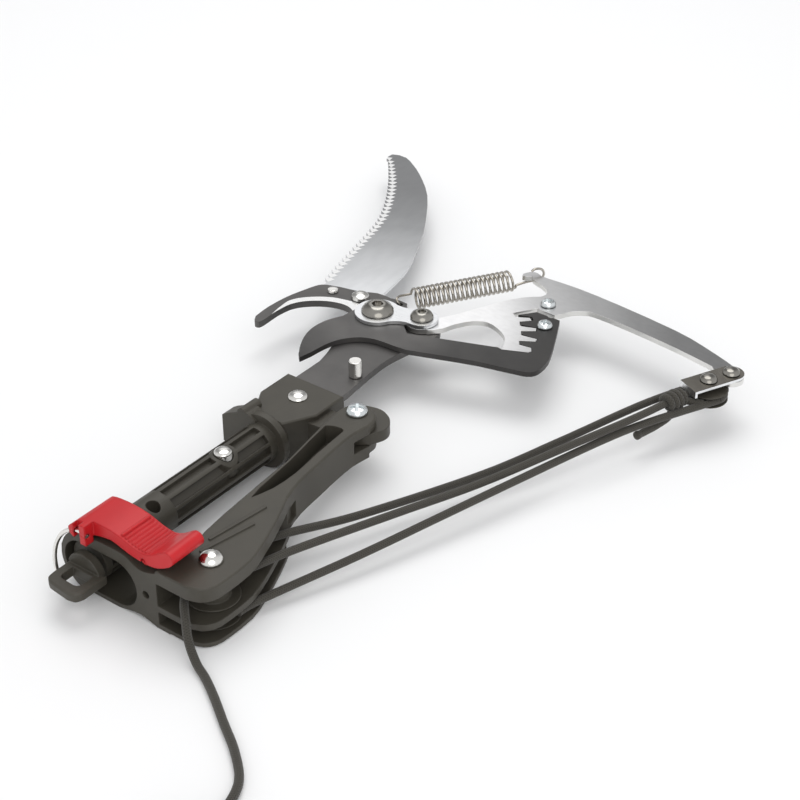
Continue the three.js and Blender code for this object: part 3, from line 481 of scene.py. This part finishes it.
def coil_points(turns, per_turn):
    """Turns laid side by side, inwards and outwards by turns, in layers a rope's width apart."""
    pitch = 2 * ROPE_R
    spots = []
    for layer in range(COIL["layers"]):
        columns = list(range(COIL["columns"]))
        if layer % 2 == 0:
            columns.reverse()
        for column in columns:
            offset = column - (COIL["columns"] - 1) / 2
            spots.append((COIL["mean"] + offset * pitch, ROPE_R + 0.1 + layer * pitch))
    points = []
    total = int(turns * per_turn)
    for i in range(total + 1):
        turn, share = divmod(i / per_turn, 1)
        here = spots[min(int(turn), len(spots) - 1)]
        there = spots[min(int(turn) + 1, len(spots) - 1)]
        step = max(0.0, (share - 0.7) / 0.3)
        step = step * step * (3 - 2 * step)
        radius = here[0] + (there[0] - here[0]) * step
        height = here[1] + (there[1] - here[1]) * step
        angle = math.pi + 2 * math.pi * (i / per_turn)
        points.append((COIL["x"] + radius * math.cos(angle), COIL["y"] + radius * math.sin(angle), height))
    return points


def make_tie():
    """A plastic tie round the coil, square with round corners."""
    path = []
    for i in range(41):
        angle = 2 * math.pi * i / 40
        across = max(-1, min(1, 1.35 * math.cos(angle)))
        up = max(-1, min(1, 1.35 * math.sin(angle)))
        reach = COIL["mean"] + TIE["half"] * across
        path.append(at(COIL["x"] + reach * math.cos(TIE["angle"]), COIL["y"] + reach * math.sin(TIE["angle"]),
                       TIE["middle"] + TIE["half"] * up * 0.98))
    mesh = tube_mesh("coil_tie", rounded(path, 80), TIE["wire"] * MM, 8)
    return add_object("coil_tie", mesh, "head", [NYLON])


def make_pull_rope():
    per_turn = 28
    lead_in = 0.25
    lead = rounded([at(*p) for p in PULL_END + coil_points(lead_in, per_turn)[1:]], 150)
    coil = np.array([tuple(at(*p)) for p in coil_points(COIL["turns"], per_turn)])
    path = np.vstack([lead, coil[int(lead_in * per_turn) + 1 :]])
    steps = np.linalg.norm(np.diff(path, axis=0), axis=1)
    run = np.concatenate([[0], np.cumsum(steps)])
    path = path[run <= ROPE_LENGTH]
    mesh = tube_mesh("pull_rope", path, ROPE_R * MM, 12, 0.5)
    rope = add_object("pull_rope", mesh, "head", [ROPE], ("rope_pull_end", "rope_coil"))
    tie = make_tie()


make_pull_rope()


# ---------- carried-over solids: their finishes, and how far their mesh edges are rounded ----------
EDGED = {
    "guide_housing": ([NYLON], 0),
    "adaptor_body": ([NYLON], 0),
    "pull_loop": ([NYLON], 0.6),
    "clamp_lever": ([RED], 0),
    "hook_plate": ([COATED, COATED_EDGE], 0.3),
    "cutting_blade": ([CUTTER, COATED_EDGE], 0.3),
    "pull_lever": ([LEVER, SILVER_EDGE], 0.3),
    "link_plate": ([SILVER, SILVER_EDGE], 0.35),
    "saw_blade": ([SAW], 0.12),
    "shackle_strap": ([STRAP_TOP_PAINTED_DARK, SILVER], 0.45),
    "guide_sheave_upper": ([NYLON], 0.3),
    "guide_sheave_lower": ([NYLON], 0.3),
    "shackle_sheave": ([NYLON], 0.4),
    "arm_nut": ([ZINC], 0.3),
    "blade_pivot_nut": ([ZINC], 0.4),
    "lever_pivot_nut": ([ZINC], 0.3),
    "saw_bolt_nut": ([ZINC], 0.3),
}
ROUND = {
    "neck_rivet": DOME, "snap_button": DOME, "sheave_rivet": DOME, "snap_button_spring": SILVER,
    "stop_pin": DOME, "saw_bolt": DOME, "saw_locating_pin": DOME,
    "blade_pivot_bolt": BOLT, "lever_pivot_bolt": BOLT,
    "blade_screw": ZINC, "lever_screw": ZINC, "arm_screw": ZINC, "clamp_lever_pin": ZINC,
    "shackle_rivet": BOLT, "shackle_axle": BOLT,
}
# Parts whose sides get a painted bright finish apart from their tops.
PAINTED_BRIGHT_SIDES = ("shackle_strap", "pull_lever")
ROUND_EDGE = 0.12


def finish_all():
    for node, (materials, width) in EDGED.items():
        obj = finish_node(node, materials, width)
        # Painted light: upward faces keep the first finish and the sides take the second, giving a painted
        # dark top on the strap and painted bright sides on the lever.
        if node in PAINTED_BRIGHT_SIDES:
            for polygon in obj.data.polygons:
                polygon.material_index = 0 if abs(polygon.normal.z) > 0.8 else 1
    for node, material in ROUND.items():
        obj = finish_node(node, [material], ROUND_EDGE, 1, 40)
        if node == "snap_button_spring":
            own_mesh(obj)


finish_all()


# ---------- ground band along the hook's inner edge ----------
GRIND_INNER = [(-69.4, 8), (-69.3, 13), (-68.1, 22.9), (-63.2, 31.2), (-53.6, 38.5), (-43.6, 41.4),
               (-36.4, 39.8), (-31, 35.4)]
GRIND_OUTER = [(-70.2, 12), (-70.9, 17), (-71.1, 26.6), (-65.3, 35.4), (-55.4, 42.9), (-45.5, 46.2),
               (-37.4, 47.2), (-29, 45.6)]


def make_hook_grind():
    rows = 48
    inside = rounded([at(x, y, PLATE_TOP) for x, y in GRIND_INNER], rows)
    outside = rounded([at(x, y, PLATE_TOP) for x, y in GRIND_OUTER], rows)
    verts = [tuple(p) for p in inside] + [tuple(p) for p in outside]
    faces = [(i, i + rows, i + rows + 1, i + 1) for i in range(rows - 1)]
    mesh = bpy.data.meshes.new("hook_grind")
    mesh.from_pydata(verts, [], faces)
    work = bmesh.new()
    work.from_mesh(mesh)
    if sum(f.normal.z for f in work.faces) < 0:
        bmesh.ops.reverse_faces(work, faces=work.faces)
    work.to_mesh(mesh)
    work.free()
    add_object("hook_grind", mesh, "head", [GROUND])


make_hook_grind()


# ---------- ground facets of the saw's teeth ----------
TOOTH_LINE = [(-146.2, 216.6), (-137.4, 208.4), (-115.5, 181.4), (-95.5, 145.5), (-84.6, 107.6), (-76.5, 76),
              (-72, 62)]
TEETH, TOOTH_DEPTH, FACET = 34, 3.2, 3.0


def make_tooth_facets():
    """One bright kite a tooth: root, point, next root, and a corner ground back into the blade."""
    line = rounded([at(x, y, SAW_TOP) for x, y in TOOTH_LINE], TEETH * 10 + 1, stiff_ends=True)
    tangents = np.gradient(line, axis=0)
    tangents /= np.linalg.norm(tangents, axis=1)[:, None]
    verts, faces = [], []
    for i in range(TEETH):
        under = i * 10 + 3
        outward = np.array((tangents[under][1], -tangents[under][0], 0))
        depth = TOOTH_DEPTH * min(1, 0.35 + 3 * i / TEETH) * MM
        first = len(verts)
        point = line[under] + outward * depth
        corner = line[under] - outward * FACET * MM
        verts += [line[i * 10], point, line[i * 10 + 10], corner]
        faces.append((first, first + 1, first + 2, first + 3))
    mesh = bpy.data.meshes.new("tooth_facets")
    mesh.from_pydata([tuple(v) for v in verts], [], faces)
    if mesh.polygons[0].normal.z < 0:
        mesh.flip_normals()
    add_object("tooth_facets", mesh, "head", [GROUND])


make_tooth_facets()


# ---------- return spring ----------
HOLE = (-17.8, 61.0)
NUB = (24.6, 127.6)
SPRING_Z = 27.0
COIL_START, COIL_END, COIL_OUTER, WIRE = 8.2, 70.3, 6.5, 0.75
SPRING_TURNS = 21
spring_length = math.dist(HOLE, NUB)
spring_dir = ((NUB[0] - HOLE[0]) / spring_length, (NUB[1] - HOLE[1]) / spring_length)


def on_spring(s, side, z):
    """s along the spring from its fixed hole, side to its left."""
    return at(HOLE[0] + spring_dir[0] * s - spring_dir[1] * side,
              HOLE[1] + spring_dir[1] * s + spring_dir[0] * side, z)


def make_spring():
    radius = COIL_OUTER - WIRE
    per_turn = 28
    steps = SPRING_TURNS * per_turn
    helix = []
    for i in range(steps + 1):
        angle = 2 * math.pi * i / per_turn
        s = COIL_START + WIRE + (COIL_END - COIL_START - 2 * WIRE) * i / steps
        helix.append(on_spring(s, radius * math.cos(angle), SPRING_Z + radius * math.sin(angle)))
    lead = [on_spring(0.2, -0.2, 21.6), on_spring(0.1, 0, 24.0), on_spring(-1.2, 0.6, 26.4),
            on_spring(-1.0, 2.6, 27.6), on_spring(1.4, 4.8, 27.4), on_spring(4.4, 5.8, 27.0)]
    path = np.vstack([rounded(lead, 24), np.array([tuple(p) for p in helix])])
    mesh = tube_mesh("return_spring_coil", path, WIRE * MM, 8)
    obj = bpy.data.objects.new("return_spring_coil", mesh)
    scene.collection.objects.link(obj)
    mesh.materials.append(SPRING)
    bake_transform(obj)
    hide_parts("return_spring")

    nub = spring_length
    tail = [on_spring(COIL_END - 0.6, 0, SPRING_Z - radius),
            on_spring(COIL_END + 2, 0, SPRING_Z - radius + 0.6),
            on_spring(nub - 6, 0, SPRING_Z - 3.8), on_spring(nub + 1, 0, 24.2), on_spring(nub + 6.4, 0, 24.1),
            on_spring(nub + 10.4, 0, 25.3), on_spring(nub + 11.2, 0, 28.4), on_spring(nub + 9.4, 0, 31),
            on_spring(nub + 5.6, 0, 31.8), on_spring(nub + 3.4, 0, 30.6)]
    end = tube_mesh("return_spring_end", rounded(tail, 60), WIRE * MM, 8)
    add_object("return_spring_end", end, "spring_end", [SPRING], ("return_spring_hook",))


make_spring()


# ---------- wire ring ----------
RING = {"x": 4.4, "y": -212.6, "z": 22.2, "wide": 15.6, "tall": 17.0, "drop": 0.22, "wire": 1.1,
        "from": 73, "to": 262}


def make_ring():
    path = []
    for i in range(49):
        angle = math.radians(RING["from"] + (RING["to"] - RING["from"]) * i / 48)
        rise = RING["tall"] * math.sin(angle)
        x = RING["x"] + RING["wide"] * math.cos(angle)
        y = RING["y"] - RING["drop"] * (RING["tall"] - rise)
        path.append(at(x, y, RING["z"] + rise))
    mesh = tube_mesh("wire_ring", path, RING["wire"] * MM, 14)
    add_object("wire_ring", mesh, "ring", [DOME], ("split_ring",))


make_ring()


# ---------- working rope: three strands, the wrap, the knot and its tail ----------
AXLE = (166.1, 90.4)
SHEAVE_END = 26.2      # the last stretch of each strand keeps its place on the shackle
CHANNEL_UPPER, CHANNEL_LOWER, SHEAVE_Z = 20.4, 6.7, 22.0
GROOVE = 6.6 + ROPE_R + 0.3
KNOT = {"back": 22.2, "side": 1.8, "z": 24.8}
ROPE_FROM = (78, -176)
reach = math.dist(ROPE_FROM, AXLE)
along = ((AXLE[0] - ROPE_FROM[0]) / reach, (AXLE[1] - ROPE_FROM[1]) / reach)
across = (-along[1], along[0])


def by_axle(back, side, z):
    """A point behind the sheave's axle along the rope, and to the left of that line."""
    return (AXLE[0] - along[0] * back + across[0] * side, AXLE[1] - along[1] * back + across[1] * side, z)


def make_strand(name, points, node):
    """A strand that shortens towards the guide as the lever closes, and its end at the sheave, left alone."""
    path = rounded([at(*p) for p in points], 90)
    axle = at(*AXLE, 0)
    behind = (axle.x - path[:, 0]) * along[0] + (axle.y - path[:, 1]) * along[1]
    split = int(np.argmax(behind <= SHEAVE_END * MM * 1.001)) or len(path) - 1
    run = tube_mesh(name, path[: split + 1], ROPE_R * MM, 12)
    strand = add_object(name, run, "rope_run", [ROPE], (node,))
    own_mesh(strand)
    if split < len(path) - 2:
        end = tube_mesh(name + "_end", path[split - 1 :], ROPE_R * 0.99 * MM, 12)
        add_object(name + "_end", end, "shackle", [ROPE])


def make_strands():
    left = [(51.2, -184, CHANNEL_UPPER), (51.6, -168, CHANNEL_UPPER), (62, -137, 18), (78.1, -97.9, 13.4),
            (104.7, -33, 11.6), (123.4, 12.4, 15.4), (142.8, 59.5, 20.6), by_axle(0, GROOVE, SHEAVE_Z)]
    middle = [(68.6, -168, CHANNEL_UPPER), (76.4, -143, 20), (96.5, -89.6, 18.6), (113.2, -45.4, 17.4),
              (132, 0, 21), (148.4, 42, 23.6), by_axle(KNOT["back"] + 4, KNOT["side"], KNOT["z"])]
    right = [(73.8, -184, CHANNEL_LOWER), (76.2, -171, 6.9), (95.2, -119.6, 10.2), (110, -74.8, 12.8),
             (125.6, -27, 15.4), (141.8, 22.6, 17.6), (153.4, 50, 19.2), by_axle(0, -GROOVE, SHEAVE_Z)]
    make_strand("left_strand", left, "rope_strand_left")
    make_strand("middle_strand", middle, "rope_strand_middle")
    make_strand("right_strand", right, "rope_strand_right")


def make_wrap():
    """The cord's half turn round the shackle's sheave."""
    path = []
    for i in range(33):
        angle = math.pi * i / 32
        path.append(at(*by_axle(-GROOVE * math.sin(angle), GROOVE * math.cos(angle), SHEAVE_Z)))
    mesh = tube_mesh("pulley_wrap", path, ROPE_R * 0.97 * MM, 12)
    add_object("pulley_wrap", mesh, "shackle", [ROPE])


def make_knot():
    """Close turns of the cord round its standing part, a loop up to the strap, and a short tail."""
    turns, per_turn = 4, 20
    path = []
    for i in range(turns * per_turn + 1):
        share = i / (turns * per_turn)
        angle = 2 * math.pi * i / per_turn
        swell = 3.1 + 0.9 * math.sin(math.pi * share)
        path.append(at(*by_axle(KNOT["back"] + 6 - 12 * share, KNOT["side"] + swell * math.cos(angle),
                                KNOT["z"] + swell * math.sin(angle))))
    turns_mesh = tube_mesh("whipped_knot", path, 1.8 * MM, 12)
    add_object("whipped_knot", turns_mesh, "shackle", [ROPE], ("rope_knot",))
    core = [at(*by_axle(KNOT["back"] + s, KNOT["side"], KNOT["z"])) for s in (7, 3, 0, -3, -8.6)]
    core_mesh = tube_mesh("knot_core", rounded(core, 20), ROPE_R * MM, 12)
    add_object("knot_core", core_mesh, "shackle", [ROPE])
    bight = [at(*by_axle(*spot)) for spot in ((17, 0, 23.4), (12.6, -4, 22.6), (8.8, -6.4, 22))]
    bight_mesh = tube_mesh("knot_bight", rounded(bight, 16), ROPE_R * 0.96 * MM, 12)
    add_object("knot_bight", bight_mesh, "shackle", [ROPE])
    tail = [at(*by_axle(KNOT["back"], KNOT["side"], 20.4)), at(*by_axle(KNOT["back"] + 3, KNOT["side"], 15)),
            at(154.6, 59, 13.4), at(152.6, 51, 13), at(150.6, 43.6, 13)]
    radii = np.full(40, ROPE_R * MM)
    radii[-4:] *= (1.05, 1.14, 1.16, 1.05)
    tail_mesh = tube_mesh("rope_tail_end", rounded(tail, 40), radii, 12, 0.5)
    add_object("rope_tail_end", tail_mesh, "shackle", [ROPE], ("rope_tail",))


make_strands()
make_wrap()
make_knot()
